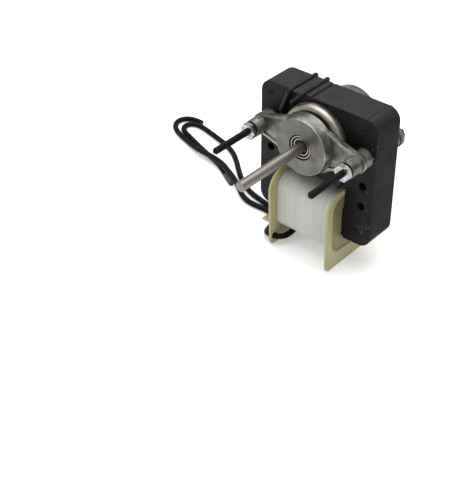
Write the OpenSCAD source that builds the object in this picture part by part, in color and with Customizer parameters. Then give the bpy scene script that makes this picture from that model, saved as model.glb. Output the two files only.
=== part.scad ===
// Shaded pole motor: a C-shaped laminated core with its coil on a yoke bar between the legs,
// a squirrel-cage rotor in the bore, and a die-cast bearing bracket on each face of the core.
// Millimetres, +Z up, shaft along Y with its free end towards -Y.
// The origin lies on the shaft's axis, in the plane of the nuts' front faces, where the motor mounts.

/* [Core] */
// Width of the laminated core
core_w = 84; // [80:0.5:90]
// Depth of the stack of laminations
core_depth = 22.2; // [16:0.1:30]
// From the shaft's axis up to the top of the core
head_h = 24.5; // [24.3:0.1:30]
// From the shaft's axis down to the ends of the legs
leg_reach = 61.9; // [58:0.1:70]
// Width of each leg
leg_w = 19.2; // [17:0.1:21]
// Radius of the core's outer corners
core_corner_r = 8; // [3:0.5:8]
// Iron between the bore and the window under it
bore_web = 4.2; // [3.5:0.1:4.5]
// Diameter of the round holes in the legs
leg_hole_d = 4.9; // [3:0.1:6]
// Height of the yoke bar that carries the coil
yoke_h = 19.2; // [17:0.1:19.5]
// How far the yoke bar stops short of the ends of the legs
yoke_lift = 1.6; // [1.2:0.1:2.5]
// How far the yoke bar's dovetails reach into the legs
dovetail = 2; // [1:0.1:3]

/* [Shading coils] */
// Diameter of the shading coils' copper wire
shade_d = 3; // [2.4:0.1:3.2]
// Sideways place of the longer coil's outer run, from the shaft's axis
long_run_x = 19.4; // [18.4:0.1:19.6]
// Sideways place of the shorter coil's outer run, from the shaft's axis
short_run_x = 10.8; // [9:0.1:12]

/* [Rotor] */
// Diameter of the rotor
rotor_d = 44; // [42:0.1:44]
// Air gap between the rotor and the bore
air_gap = 0.35; // [0.3:0.01:0.5]
// Width of each end ring along the shaft
end_ring_w = 5.3; // [4:0.1:5.5]
// Radial height of each end ring
end_ring_h = 5.6; // [4:0.1:7]
// Number of bars in the cage
bar_count = 17; // [12:1:20]
// Diameter of each bar
bar_d = 2.6; // [2:0.1:3]

/* [Shaft] */
// Diameter of the shaft
shaft_d = 6.35; // [6:0.01:6.5]
// Reach of the shaft in front of the mounting plane
shaft_reach = 46.2; // [35:0.1:70]
// Length of the chamfer on the shaft's ends
shaft_chamfer = 0.4; // [0.2:0.1:0.8]

/* [Brackets] */
// From the core's front face to the front face of the front hub
front_hub_reach = 15.6; // [15:0.1:17]
// From the core's rear face to the rear face of the rear hub
rear_hub_reach = 15.6; // [15:0.1:17]
// Radius of a hub's flat disc
disc_r = 18; // [16:0.1:18.5]
// Radius of a hub's drum where it ends towards the core
drum_r = 19.2; // [18.8:0.1:20]
// Length of a hub's drum
drum_l = 8.1; // [6:0.1:9]
// Wall of a hub's drum
drum_wall = 2.4; // [1.8:0.1:3]
// Thickness of a hub's disc
disc_t = 3; // [2:0.1:4]
// Radius of the bearing housing behind a hub's disc
housing_r = 9.2; // [9:0.1:10.5]
// From the core's face to the back of the arms
arm_lift = 5.9; // [5.7:0.1:6.3]
// Thickness of the arms
arm_t = 3; // [2:0.1:3.5]
// Height of the ribs along the arms' edges
arm_rib = 0.8; // [0.3:0.1:1.2]
// Width of the ribs along the arms' edges
arm_rib_w = 1.9; // [1.2:0.1:2.5]
// Half height of the arms where they leave the drum
arm_root = 12.4; // [10:0.1:14]
// Half height of the arms where they end around the bosses
arm_tip = 6.2; // [5.8:0.1:7]
// Radius of the bosses that the bolts pass through
boss_r = 5.4; // [5:0.1:5.8]
// Length of the front bosses
front_boss_l = 17.9; // [15:0.1:20]
// Length of the rear bosses
rear_boss_l = 10; // [9.6:0.1:12]

/* [Bearings] */
// Radius of the bearing's ball-shaped outside
ball_r = 6.2; // [5.9:0.05:6.25]
// Length of the bearing
ball_l = 8; // [7:0.1:8.4]
// Radius of the recess in a hub's face
recess_r = 8; // [7.6:0.05:8.2]
// Depth of the recess, down to the bearing's end
bearing_depth = 2.6; // [2.4:0.1:3]
// Outer radius of the oil felt
felt_r = 7.6; // [7.2:0.1:8]
// Thickness of the cap over the oil felt
felt_cap_t = 0.6; // [0.4:0.1:0.8]
// Thickness of the thrust washers
thrust_t = 1; // [0.6:0.1:1.4]

/* [Bolts] */
// Distance between the two bolts, centre to centre
stud_spacing = 68.7; // [66:0.1:70]
// Diameter of the bolts' thread
stud_d = 4.17; // [3.8:0.01:4.3]
// Diameter of the bolts' shank, where they pass through the nuts, washers and core
shank_d = 3.7; // [3.2:0.1:3.8]
// Reach of the bolts in front of the nuts
stud_reach = 28.6; // [15:0.1:40]
// Size of the nuts across their flats
nut_af = 9.5; // [9:0.1:10]
// Thickness of the nuts
nut_t = 3.2; // [2.6:0.1:4]
// Outer diameter of the lock washers
lock_washer_d = 8.4; // [7:0.1:9]
// Thickness of the lock washers
lock_washer_t = 1.1; // [0.8:0.1:1.4]
// Thickness of the bolts' heads at the rear
head_t = 3.2; // [2.4:0.1:4]

/* [Coil] */
// Thickness of the bobbin's flanges
flange_t = 1.6; // [1.2:0.1:2]
// Reach of the flanges in front of and behind the core
flange_reach = 16.2; // [14:0.1:18]
// Reach of the flanges below the legs
tail_reach = 19.1; // [16:0.1:24]
// Radius of the flanges' upper corners
flange_top_r = 13; // [8:0.5:13]
// Radius of the flanges' lower corners
flange_foot_r = 4; // [2:0.5:6]
// Wall of the bobbin's tube
tube_wall = 1.2; // [0.8:0.1:1.6]
// Thickness of the copper winding
winding_t = 7.6; // [5:0.1:7.8]
// Thickness of the tape around the winding
tape_t = 0.6; // [0.3:0.1:0.8]
// Outer corner radius of the taped coil
coil_corner_r = 9; // [8.6:0.1:9.5]
// Depth of the pocket in each flange's outer face
pocket_depth = 0.6; // [0.2:0.1:0.7]
// Reach of the lead shelf outside the left flange
shelf_reach = 6.5; // [4:0.1:8]

/* [Leads] */
// Outer diameter of the leads
lead_d = 3.8; // [3:0.1:3.8]

/* [Hidden] */
$fn = 64;

// Overshoot of a cut past the face that it opens
cut = 1;
// Clearance between parts that slide together and stay put
snug = 0.05;
// Clearance between the shaft and its bearings
shaft_play = 0.03;
// Free play of the rotor along the shaft, at each end
end_play = 0.3;

// The core's faces, from the mounting plane
front_face_y = front_boss_l + lock_washer_t + nut_t;
rear_face_y = front_face_y + core_depth;
bore_r = rotor_d / 2 + air_gap;
window_top_z = -(bore_r + bore_web);
leg_inner_x = core_w / 2 - leg_w;
yoke_z = yoke_lift - leg_reach + yoke_h / 2;
dovetail_root = yoke_h / 4;
dovetail_tip = yoke_h / 3;

// Round holes in the legs: their place sideways, and from the shaft's axis down
leg_hole_x = core_w / 2 - 8;
leg_hole_z = [-20, -34];
// Shallow dimples where the laminations are locked together
dimple_size = [3.6, 1.8];
dimple_depth = 0.5;
dimple_places = [[-34.4, 17.4], [33.8, 17.4], [31.8, -51.5], [-31.8, -51.5]];
// Grooves along the top of the core
top_groove_x = [-4.8, core_w / 2 - core_corner_r];
top_groove_w = [1.5, 0.5];
top_groove_depth = [0.9, 0.3];

// Shading coils: the inner runs' places through the core, seen from the front
long_slot = [-25.4, 8.6];
short_slot = [-18.2, 16.9];
shade_r = shade_d / 2;
slot_r = shade_r + 0.1;
// How far the shading coils' ends stand off the core's faces
shade_lift = 0.3;
slot_mouth = 1.2;
lower_long_run = [long_run_x - 1.8, window_top_z];
lower_short_run = [short_run_x, window_top_z];

bar_circle_r = rotor_d / 2 - 1 - bar_d / 2;
end_ring_r = rotor_d / 2 - 0.2;
end_ring_round = 3.2;

// Along the shaft, from a hub's face towards the core
ball_h = bearing_depth + ball_l / 2;
felt_floor = ball_h + 2.6;
felt_in_r = 5.75;
housing_l = bearing_depth + ball_l + 1;
thrust_h = bearing_depth + ball_l + end_play;
washer_r = 4.6;
groove_h = 0.4;
groove_w = 0.8;
groove_r = shaft_d / 2 - 0.25;
shaft_rear_depth = 1;

arm_end_x = stud_spacing / 2;
arm_root_x = 13.5;
stud_r = stud_d / 2;
stud_hole_r = stud_r + 0.15;
boss_root_r = boss_r + 0.8;
boss_root_l = 4.5;

flange_out_x = leg_inner_x - 0.4;
flange_in_x = flange_out_x - flange_t;
flange_half = core_depth / 2 + flange_reach;
flange_taper = 1.4;
flange_top_z = window_top_z - 0.9;
foot_z = -leg_reach - tail_reach;
tube_play = 0.15;
tube_out = tube_play + tube_wall;
winding_out = tube_out + winding_t;
coil_out = winding_out + tape_t;
pocket_out = coil_out + 0.5;
shelf_t = 1.4;
shelf_z = -leg_reach - 1.7 - shelf_t;

// The leads' routes: each starts on the coil's underside and ends on the surface below
lead_r = lead_d / 2;
lead_sides = 8;
lead_hole_r = lead_r + 0.3;
lead_1_hole = [32, -77.4];
lead_2_hole = [11, -75];
lead_1_route = [[-11.5, 32, -69.9], [-11.5, 32, -72.4], [-13, 32, -75.4], [-16, 32, -77.1],
    [-21, 32, -77.4], [-26, 32.3, -77.7], [-32, 34, -78.6], [-39, 36.4, -79.1],
    [-47.5, 38.2, -79.1], [-56, 39.8, -79.1], [-64, 41.6, -79.1], [-72, 44.6, -79.1],
    [-81, 50, -79.1], [-90, 57.2, -79.1], [-99, 65, -79.1], [-108, 71.6, -79.1],
    [-118, 76.2, -79.1], [-128, 79, -79.1], [-138, 81.4, -79.1], [-147, 83.2, -79.1],
    [-153, 83.2, -79.1], [-157.2, 80.8, -79.1], [-158.2, 77, -79.1], [-156.4, 73, -79.1],
    [-152.6, 70.4, -79.1], [-146, 67.8, -79.1], [-138, 64.9, -79.1], [-129, 61.7, -79.1],
    [-120.3, 58.9, -79.1], [-112, 56.4, -79.1], [-104.4, 53.4, -79.1], [-97, 49.5, -79.1],
    [-90, 45.7, -79.1], [-83.4, 42.2, -79.1]];
lead_2_route = [[-15.5, 26, -69.9], [-15.5, 26, -72.2], [-15.5, 24, -74.6], [-15.5, 19.2, -75.4],
    [-16.4, 14.4, -75.2], [-19, 11.5, -75], [-22, 11, -75], [-26, 11.6, -76],
    [-29.4, 14.2, -77.8], [-31.6, 18.6, -79], [-33, 24, -79.1], [-35.8, 29, -79.1],
    [-40, 32.2, -79.1], [-47, 33.4, -79.1], [-56, 33, -79.1], [-62, 33.4, -78.9],
    [-67.1, 34.8, -78.1], [-72.3, 37.3, -76.5], [-77.9, 40.6, -75.4], [-84.5, 44.2, -75],
    [-92.4, 48, -74.9], [-99.9, 51.3, -74.9], [-108.5, 53.4, -75], [-117.1, 54.8, -75.7],
    [-126.1, 56.6, -76.9], [-135.2, 59.5, -78.2], [-144, 62.6, -79], [-152, 65.2, -79.1],
    [-159, 68.4, -79.1], [-164.4, 72.8, -79.1], [-166.8, 78, -79.1], [-165.8, 83, -79.1],
    [-162, 86.4, -79.1], [-157, 87.6, -79.1], [-152, 87.6, -79.1]];

function unit(v) = v / norm(v);

// Direction of a route at one of its points; both ends leave square to their end faces
function heading(route, i) =
    i == 0 ? unit(route[1] - route[0])
    : i == len(route) - 1 ? unit(route[i] - route[i - 1])
    : unit(unit(route[i + 1] - route[i]) + unit(route[i] - route[i - 1]));

// A side direction carried along the route without twisting
function side_dirs(route) =
    [for (i = 0, s = [0, 1, 0]; i < len(route); i = i + 1,
        s = i < len(route) ? unit(s - (s * heading(route, i)) * heading(route, i)) : s)
        i == 0 ? unit(s - (s * heading(route, 0)) * heading(route, 0)) : s];

// Points of the ring of a tube at each point of its route
function tube_rings(route, r) =
    let (sides = side_dirs(route))
    [for (i = [0:len(route) - 1])
        let (s = sides[i], t = cross(heading(route, i), s))
        for (k = [0:lead_sides - 1])
            let (a = 360 * (k + 0.5) / lead_sides)
            route[i] + r * (cos(a) * s + sin(a) * t)];

function tube_skin(n) = concat(
    [[for (k = [0:lead_sides - 1]) k]],
    [for (i = [0:n - 2]) for (k = [0:lead_sides - 1])
        let (a = i * lead_sides + k, b = i * lead_sides + (k + 1) % lead_sides)
        [a, a + lead_sides, b + lead_sides, b]],
    [[for (k = [lead_sides - 1:-1:0]) (n - 1) * lead_sides + k]]);

// Places what is built outwards (-Y) from the core's front face
module front_side() {
    translate([0, front_face_y, 0]) children();
}

// Places the same on the core's rear face, facing the other way
module rear_side() {
    translate([0, rear_face_y, 0]) mirror([0, 1, 0]) children();
}

// A plate of thickness t whose outline is drawn as seen from the front, from y0 backwards
module plate(y0, t) {
    translate([0, y0 + t, 0]) rotate([90, 0, 0]) linear_extrude(t) children();
}

// A cylinder along the shaft's direction
module rod(x, y0, z, r, l) {
    translate([x, y0, z]) rotate([-90, 0, 0]) cylinder(r = r, h = l);
}

// Turned shapes: the profile's second measure runs from a hub's face towards the core
module turned(hub_reach) {
    translate([0, -hub_reach, 0]) rotate([-90, 0, 0]) rotate_extrude() children();
}

// Tube along the shaft, from h0 to h1 under a hub's face
module sleeve(hub_reach, r_in, r_out, h0, h1) {
    turned(hub_reach) translate([r_in, h0]) square([r_out - r_in, h1 - h0]);
}

// Rectangle w by h centred on the origin, with corners of radius r
module round_rect(w, h, r) {
    square([w - 2 * r, h], center = true);
    square([w, h - 2 * r], center = true);
    for (x = [-1, 1], y = [-1, 1]) translate([x * (w / 2 - r), y * (h / 2 - r)]) circle(r);
}

// Slot from the bore to a shading coil's inner run
module shading_slot(at) {
    translate(at) circle(slot_r);
    a = atan2(at[1], at[0]);
    rotate(a) translate([bore_r - cut, -slot_mouth / 2]) square([norm(at) - bore_r + cut, slot_mouth]);
}

// One lamination, seen from the front
module lamination() {
    total_h = head_h + leg_reach;
    difference() {
        translate([0, head_h - total_h / 2]) round_rect(core_w, total_h, core_corner_r);
        circle(bore_r, $fn = 128);
        translate([-leg_inner_x, -leg_reach - cut])
            square([2 * leg_inner_x, window_top_z + leg_reach + cut]);
        for (s = [-1, 1]) {
            shading_slot(-s * long_slot);
            shading_slot(-s * short_slot);
            translate([s * leg_inner_x, yoke_z]) rotate(s > 0 ? 0 : 180) dovetail_outline(snug);
            for (z = leg_hole_z) translate([s * leg_hole_x, z]) circle(d = leg_hole_d);
            translate([s * stud_spacing / 2, 0]) circle(stud_hole_r);
        }
        translate([-long_run_x, head_h]) circle(slot_r);
        translate([-short_run_x, head_h]) circle(slot_r);
        translate(lower_long_run) circle(slot_r);
        translate(lower_short_run) circle(slot_r);
        for (i = [0:1]) translate([top_groove_x[i] - top_groove_w[i] / 2, head_h - top_groove_depth[i]])
            square([top_groove_w[i], top_groove_depth[i] + cut]);
    }
}

// Outline of a dovetail that points to +X from its root on the axis
module dovetail_outline(gap) {
    polygon([[-cut, -dovetail_root - gap], [0, -dovetail_root - gap],
        [dovetail + gap, -dovetail_tip - gap], [dovetail + gap, dovetail_tip + gap],
        [0, dovetail_root + gap], [-cut, dovetail_root + gap]]);
}

module c_frame_stack() {
    color([0.16, 0.16, 0.165])
    difference() {
        plate(front_face_y, core_depth) lamination();
        for (p = dimple_places) plate(front_face_y - cut, cut + dimple_depth)
            translate(p) square(dimple_size, center = true);
    }
}

module yoke_bar() {
    color([0.22, 0.22, 0.23])
    plate(front_face_y, core_depth) translate([0, yoke_z]) {
        square([2 * leg_inner_x, yoke_h], center = true);
        for (s = [-1, 1]) translate([s * leg_inner_x, 0]) rotate(s > 0 ? 0 : 180) dovetail_outline(0);
    }
}

// Section of the coil at a distance out from the yoke bar, seen from the right
module coil_section(out, r) {
    round_rect(core_depth + 2 * out, yoke_h + 2 * out, r);
}

// Extrudes an outline drawn in Y and Z, centred on the yoke bar, between two places along X
module across(x0, x1) {
    translate([x0, front_face_y + core_depth / 2, yoke_z])
        rotate([90, 0, 90]) linear_extrude(x1 - x0) children();
}

// Outline of a flange, centred on the yoke bar: a head around the coil and a tail to stand on
module flange_outline() {
    top = flange_top_z - yoke_z;
    foot = foot_z - yoke_z;
    head_half = flange_half - flange_top_r;
    tail_half = flange_half - flange_taper;
    for (s = [-1, 1]) {
        translate([s * head_half, top - flange_top_r]) circle(flange_top_r);
        translate([s * (tail_half - flange_foot_r), foot + flange_foot_r]) circle(flange_foot_r);
    }
    translate([-head_half, top - flange_top_r]) square([2 * head_half, flange_top_r]);
    translate([flange_foot_r - tail_half, foot]) square([2 * (tail_half - flange_foot_r), flange_foot_r]);
    polygon([[-flange_half, top - flange_top_r], [flange_half, top - flange_top_r],
        [tail_half, foot + flange_foot_r], [-tail_half, foot + flange_foot_r]]);
}

// Shelf that keeps the leads away from the leg
module shelf() {
    translate([-flange_out_x - shelf_reach, front_face_y - flange_reach + 2.4, shelf_z])
        cube([shelf_reach + flange_t / 2, flange_reach + core_depth / 2, shelf_t]);
}

module bobbin() {
    color([0.84, 0.83, 0.66])
    difference() {
        union() {
            across(-flange_out_x, -flange_in_x) flange_outline();
            across(flange_in_x, flange_out_x) flange_outline();
            across(-flange_out_x, flange_out_x) coil_section(tube_out, tube_wall);
            shelf();
        }
        across(-flange_out_x - cut, flange_out_x + cut) square([core_depth + 2 * tube_play,
            yoke_h + 2 * tube_play], center = true);
        across(flange_out_x - pocket_depth, flange_out_x + cut) coil_section(pocket_out, coil_corner_r);
        difference() {
            across(-flange_out_x - cut, pocket_depth - flange_out_x) coil_section(pocket_out, coil_corner_r);
            shelf();
        }
        for (h = [lead_1_hole, lead_2_hole]) translate([-flange_out_x - cut, h[0], h[1]])
            rotate([0, 90, 0]) cylinder(r = lead_hole_r, h = flange_t + 2 * cut);
    }
}

module winding() {
    color([0.72, 0.42, 0.24])
    difference() {
        across(-flange_in_x, flange_in_x) coil_section(winding_out, coil_corner_r - tape_t);
        across(-flange_in_x - cut, flange_in_x + cut) coil_section(tube_out, tube_wall);
    }
}

module coil_tape() {
    color([0.86, 0.87, 0.85])
    difference() {
        across(-flange_in_x, flange_in_x) coil_section(coil_out, coil_corner_r);
        across(-flange_in_x - cut, flange_in_x + cut) coil_section(winding_out, coil_corner_r - tape_t);
    }
}

// A closed turn of round wire around part of a pole: one run through the core at inner, one
// run outside it at outer (both seen from the front), and an end lying on each face
module shading_coil(inner, outer) {
    span = norm(outer - inner);
    bend = shade_r + shade_lift;
    length = core_depth + 2 * bend;
    run_r = shade_r - snug / 2;
    color([0.62, 0.36, 0.24])
    translate([inner[0], front_face_y - bend, inner[1]])
    rotate([0, -atan2(outer[1] - inner[1], outer[0] - inner[0]), 0]) {
        for (x = [0, span]) rod(x, bend - snug, 0, run_r, length - 2 * bend + 2 * snug);
        for (y = [0, length]) translate([bend - snug, y, 0]) rotate([0, 90, 0])
            cylinder(r = run_r, h = span - 2 * bend + 2 * snug);
        for (e = [[0, 0, 0], [span, 0, 90], [span, length, 180], [0, length, 270]])
            translate([e[0], e[1], 0]) rotate([0, 0, e[2]]) translate([bend, bend, 0])
                rotate([0, 0, 180]) rotate_extrude(angle = 90) translate([bend, 0]) circle(shade_r);
    }
}

module upper_long_shading_coil() {
    shading_coil(long_slot, [-long_run_x, head_h]);
}

module upper_short_shading_coil() {
    shading_coil(short_slot, [-short_run_x, head_h]);
}

module lower_long_shading_coil() {
    shading_coil(-long_slot, lower_long_run);
}

module lower_short_shading_coil() {
    shading_coil(-short_slot, lower_short_run);
}

module rotor_core() {
    color([0.45, 0.46, 0.47])
    difference() {
        rod(0, front_face_y, 0, rotor_d / 2, core_depth, $fn = 128);
        rod(0, front_face_y - cut, 0, shaft_d / 2, core_depth + 2 * cut);
        for (i = [0:bar_count - 1]) rotate([0, 360 * i / bar_count, 0])
            rod(bar_circle_r, front_face_y - cut, 0, bar_d / 2, core_depth + 2 * cut, $fn = 24);
    }
}

// Profile of an end ring with its outer front edge well rounded, from its front to the core
module end_ring_profile() {
    translate([end_ring_r - end_ring_h, 0]) difference() {
        square([end_ring_h, end_ring_w]);
        translate([end_ring_h - end_ring_round, -cut]) difference() {
            square([end_ring_round + cut, end_ring_round + cut]);
            translate([0, end_ring_round + cut]) circle(end_ring_round);
        }
    }
}

module rotor_cage() {
    color([0.78, 0.77, 0.74]) {
        front_side() turned(end_ring_w) end_ring_profile();
        rear_side() turned(end_ring_w) end_ring_profile();
        for (i = [0:bar_count - 1]) rotate([0, 360 * i / bar_count, 0])
            rod(bar_circle_r, front_face_y, 0, bar_d / 2, core_depth, $fn = 24);
    }
}

module shaft() {
    r = shaft_d / 2;
    rear_y = rear_face_y + rear_hub_reach - shaft_rear_depth;
    l = shaft_reach + rear_y;
    groove_y = front_face_y - front_hub_reach + groove_h + shaft_reach;
    color([0.63, 0.61, 0.59])
    translate([0, -shaft_reach, 0]) rotate([-90, 0, 0]) rotate_extrude()
        polygon([[0, 0], [r - shaft_chamfer, 0], [r, shaft_chamfer], [r, groove_y], [groove_r, groove_y],
            [groove_r, groove_y + groove_w], [r, groove_y + groove_w],
            [r, l - shaft_chamfer], [r - shaft_chamfer, l], [0, l]]);
}

// Outline of the arm on one side, as seen from the front, from under the drum to the boss
module arm_outline() {
    polygon([[0, -arm_root], [arm_root_x, -arm_root], [arm_end_x, -arm_tip],
        [arm_end_x, arm_tip], [arm_root_x, arm_root], [0, arm_root]]);
    translate([arm_end_x, 0]) circle(arm_tip);
}

// The raised strips along an arm's two edges
module arm_rib_outline() {
    for (s = [-1, 1]) polygon([[arm_root_x, s * arm_root], [arm_end_x, s * arm_tip],
        [arm_end_x, s * (arm_tip - arm_rib_w)], [arm_root_x, s * (arm_root - arm_rib_w)]]);
}

// Bearing bracket, built outwards from the core's face: a cup-shaped hub, two arms and two bosses
module bracket(hub_reach, boss_l) {
    edge = 0.6;
    color([0.56, 0.58, 0.56])
    difference() {
        union() {
            turned(hub_reach) polygon([[0, 0], [disc_r - edge, 0], [disc_r, edge], [drum_r, drum_l],
                [housing_r, drum_l], [housing_r, housing_l], [0, housing_l]]);
            for (s = [-1, 1]) {
                plate(-arm_lift - arm_t, arm_t) rotate(s > 0 ? 0 : 180) arm_outline();
                plate(-arm_lift - arm_t - arm_rib, arm_t) rotate(s > 0 ? 0 : 180) arm_rib_outline();
                rod(s * stud_spacing / 2, -boss_l, 0, boss_r, boss_l);
                translate([s * stud_spacing / 2, 0, 0]) rotate([90, 0, 0])
                    cylinder(r1 = boss_root_r, r2 = boss_r, h = boss_root_l);
            }
        }
        turned(hub_reach) polygon([[housing_r, disc_t], [disc_r - drum_wall, disc_t],
            [drum_r - drum_wall, drum_l], [drum_r - drum_wall, hub_reach + cut],
            [0, hub_reach + cut], [0, housing_l], [housing_r, housing_l]]);
        sleeve(hub_reach, 0, recess_r, -cut, bearing_depth);
        sleeve(hub_reach, 0, ball_r + 0.2, 0, ball_h);
        translate([0, ball_h - hub_reach, 0]) rotate([-90, 0, 0]) sphere(ball_r + snug / 2);
        sleeve(hub_reach, 0, felt_r, felt_floor, housing_l + cut);
        for (s = [-1, 1]) rod(s * stud_spacing / 2, -boss_l - cut, 0, stud_hole_r, boss_l + 2 * cut);
    }
}

module front_bracket() {
    front_side() bracket(front_hub_reach, front_boss_l);
}

module rear_bracket() {
    rear_side() bracket(rear_hub_reach, rear_boss_l);
}

// Sintered bearing: a ball cut flat at both ends and bored for the shaft
module bearing(hub_reach) {
    color([0.62, 0.47, 0.36])
    difference() {
        intersection() {
            translate([0, ball_h - hub_reach, 0]) rotate([-90, 0, 0]) sphere(ball_r);
            sleeve(hub_reach, 0, ball_r + cut, bearing_depth, bearing_depth + ball_l);
        }
        sleeve(hub_reach, 0, shaft_d / 2 + shaft_play, 0, housing_l);
    }
}

module front_bearing() {
    front_side() bearing(front_hub_reach);
}

module rear_bearing() {
    rear_side() bearing(rear_hub_reach);
}

// Stepped ring that holds the bearing in its recess
module bearing_retainer(hub_reach) {
    wall = 0.9;
    outer_r = recess_r - 0.7;
    inner_r = outer_r - 1.8;
    floor_h = bearing_depth - 0.6;
    color([0.74, 0.74, 0.7])
    turned(hub_reach) polygon([[inner_r - wall, 0.9], [inner_r, 0.9], [inner_r, floor_h],
        [outer_r - wall, floor_h], [outer_r - wall, 0.5], [outer_r, 0.5], [outer_r, floor_h],
        [recess_r - snug, floor_h], [recess_r - snug, bearing_depth], [inner_r - wall, bearing_depth]]);
}

module front_bearing_retainer() {
    front_side() bearing_retainer(front_hub_reach);
}

module rear_bearing_retainer() {
    rear_side() bearing_retainer(rear_hub_reach);
}

// Ring of oil-soaked felt around the inner end of the bearing
module oil_felt(hub_reach) {
    color([0.55, 0.48, 0.36])
    sleeve(hub_reach, felt_in_r, felt_r - snug, felt_floor, housing_l);
}

module front_oil_felt() {
    front_side() oil_felt(front_hub_reach);
}

module rear_oil_felt() {
    rear_side() oil_felt(rear_hub_reach);
}

module felt_cap(hub_reach) {
    color([0.7, 0.71, 0.72])
    sleeve(hub_reach, washer_r + 0.4, housing_r - 0.4, housing_l, housing_l + felt_cap_t);
}

module front_felt_cap() {
    front_side() felt_cap(front_hub_reach);
}

module rear_felt_cap() {
    rear_side() felt_cap(rear_hub_reach);
}

module thrust_washer(hub_reach) {
    color([0.85, 0.84, 0.8])
    sleeve(hub_reach, shaft_d / 2 + shaft_play, washer_r, thrust_h, thrust_h + thrust_t);
}

module front_thrust_washer() {
    front_side() thrust_washer(front_hub_reach);
}

module rear_thrust_washer() {
    rear_side() thrust_washer(rear_hub_reach);
}

// Sleeve that keeps the thrust washer off the rotor
module spacer(hub_reach) {
    color([0.6, 0.61, 0.62])
    sleeve(hub_reach, shaft_d / 2 + shaft_play, washer_r, thrust_h + thrust_t, hub_reach);
}

module front_spacer() {
    front_side() spacer(front_hub_reach);
}

module rear_spacer() {
    rear_side() spacer(rear_hub_reach);
}

// Long bolt from its head on the rear boss to the threaded end in front of the nut
module through_bolt(s) {
    head_y = rear_face_y + rear_boss_l;
    tip = 0.7;
    collar_t = 0.8;
    collar_r = 4.9;
    head_corner_r = 3.67;
    color([0.13, 0.13, 0.13])
    translate([s * stud_spacing / 2, 0, 0]) {
        rod(0, tip - stud_reach, 0, stud_r, stud_reach - tip);
        rod(0, -cut, 0, shank_d / 2, head_y + cut);
        translate([0, -stud_reach, 0]) rotate([-90, 0, 0]) cylinder(r1 = stud_r - tip, r2 = stud_r, h = tip);
        rod(0, head_y, 0, collar_r, collar_t);
        rod(0, head_y + collar_t, 0, head_corner_r, head_t - collar_t, $fn = 6);
    }
}

module left_through_bolt() {
    through_bolt(-1);
}

module right_through_bolt() {
    through_bolt(1);
}

// Split spring washer between the front boss and the nut
module lock_washer(s) {
    split = 0.8;
    color([0.1, 0.1, 0.1])
    difference() {
        rod(s * stud_spacing / 2, nut_t, 0, lock_washer_d / 2, lock_washer_t);
        rod(s * stud_spacing / 2, nut_t - cut, 0, stud_hole_r, lock_washer_t + 2 * cut);
        translate([s * stud_spacing / 2 - split / 2, nut_t - cut, 0])
            cube([split, lock_washer_t + 2 * cut, lock_washer_d]);
    }
}

module left_lock_washer() {
    lock_washer(-1);
}

module right_lock_washer() {
    lock_washer(1);
}

// Hexagon nut with its corners chamfered on the front
module nut(s, turn) {
    corner_r = nut_af / sqrt(3);
    chamfer = 0.5;
    color([0.8, 0.82, 0.82])
    translate([s * stud_spacing / 2, 0, 0]) difference() {
        intersection() {
            rotate([0, turn, 0]) rod(0, 0, 0, corner_r, nut_t, $fn = 6);
            rotate([-90, 0, 0]) rotate_extrude() polygon([[0, 0], [nut_af / 2 - 0.1, 0],
                [corner_r + 0.1, chamfer + 0.2], [corner_r + 0.1, nut_t], [0, nut_t]]);
        }
        rod(0, -cut, 0, shank_d / 2 + snug / 2, nut_t + 2 * cut);
    }
}

module left_nut() {
    nut(-1, 0);
}

module right_nut() {
    nut(1, 10);
}

module lead(route) {
    color([0.08, 0.08, 0.085])
    polyhedron(points = tube_rings(route, lead_r), faces = tube_skin(len(route)), convexity = 6);
}

module lead_1() {
    lead(lead_1_route);
}

module lead_2() {
    lead(lead_2_route);
}

c_frame_stack();
yoke_bar();
bobbin();
winding();
coil_tape();
upper_long_shading_coil();
upper_short_shading_coil();
lower_long_shading_coil();
lower_short_shading_coil();
rotor_core();
rotor_cage();
shaft();
front_bracket();
rear_bracket();
front_bearing();
rear_bearing();
front_bearing_retainer();
rear_bearing_retainer();
front_oil_felt();
rear_oil_felt();
front_felt_cap();
rear_felt_cap();
front_thrust_washer();
rear_thrust_washer();
front_spacer();
rear_spacer();
left_through_bolt();
right_through_bolt();
left_lock_washer();
right_lock_washer();
left_nut();
right_nut();
lead_1();
lead_2();
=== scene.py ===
import math

import bmesh
import bpy
from mathutils import Euler, Matrix, Vector


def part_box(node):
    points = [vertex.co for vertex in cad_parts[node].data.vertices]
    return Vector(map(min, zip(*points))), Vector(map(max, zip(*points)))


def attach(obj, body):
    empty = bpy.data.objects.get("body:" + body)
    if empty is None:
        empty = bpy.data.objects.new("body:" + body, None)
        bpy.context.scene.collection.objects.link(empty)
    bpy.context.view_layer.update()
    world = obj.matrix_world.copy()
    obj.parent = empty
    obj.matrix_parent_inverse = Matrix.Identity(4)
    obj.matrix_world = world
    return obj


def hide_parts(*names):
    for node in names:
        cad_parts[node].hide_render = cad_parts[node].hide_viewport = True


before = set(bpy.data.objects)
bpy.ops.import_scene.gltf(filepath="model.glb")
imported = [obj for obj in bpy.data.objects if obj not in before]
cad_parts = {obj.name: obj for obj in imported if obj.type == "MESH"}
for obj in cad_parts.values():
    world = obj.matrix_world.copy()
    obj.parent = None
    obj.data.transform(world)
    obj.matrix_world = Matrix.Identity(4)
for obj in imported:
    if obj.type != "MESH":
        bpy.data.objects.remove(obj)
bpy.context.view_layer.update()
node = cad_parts
MM = 0.001


# Studio
# A white floor that glows a little, a broad soft light overhead, two weaker ones at the sides,
# and a pale room that is brightest at its ceiling.

def linear(hex_colour):
    """The linear colour of an sRGB hex code such as 7d827c."""
    channels = [int(hex_colour[i:i + 2], 16) / 255 for i in (0, 2, 4)]
    return tuple(c / 12.92 if c <= 0.04045 else ((c + 0.055) / 1.055) ** 2.4
        for c in channels) + (1,)


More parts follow.
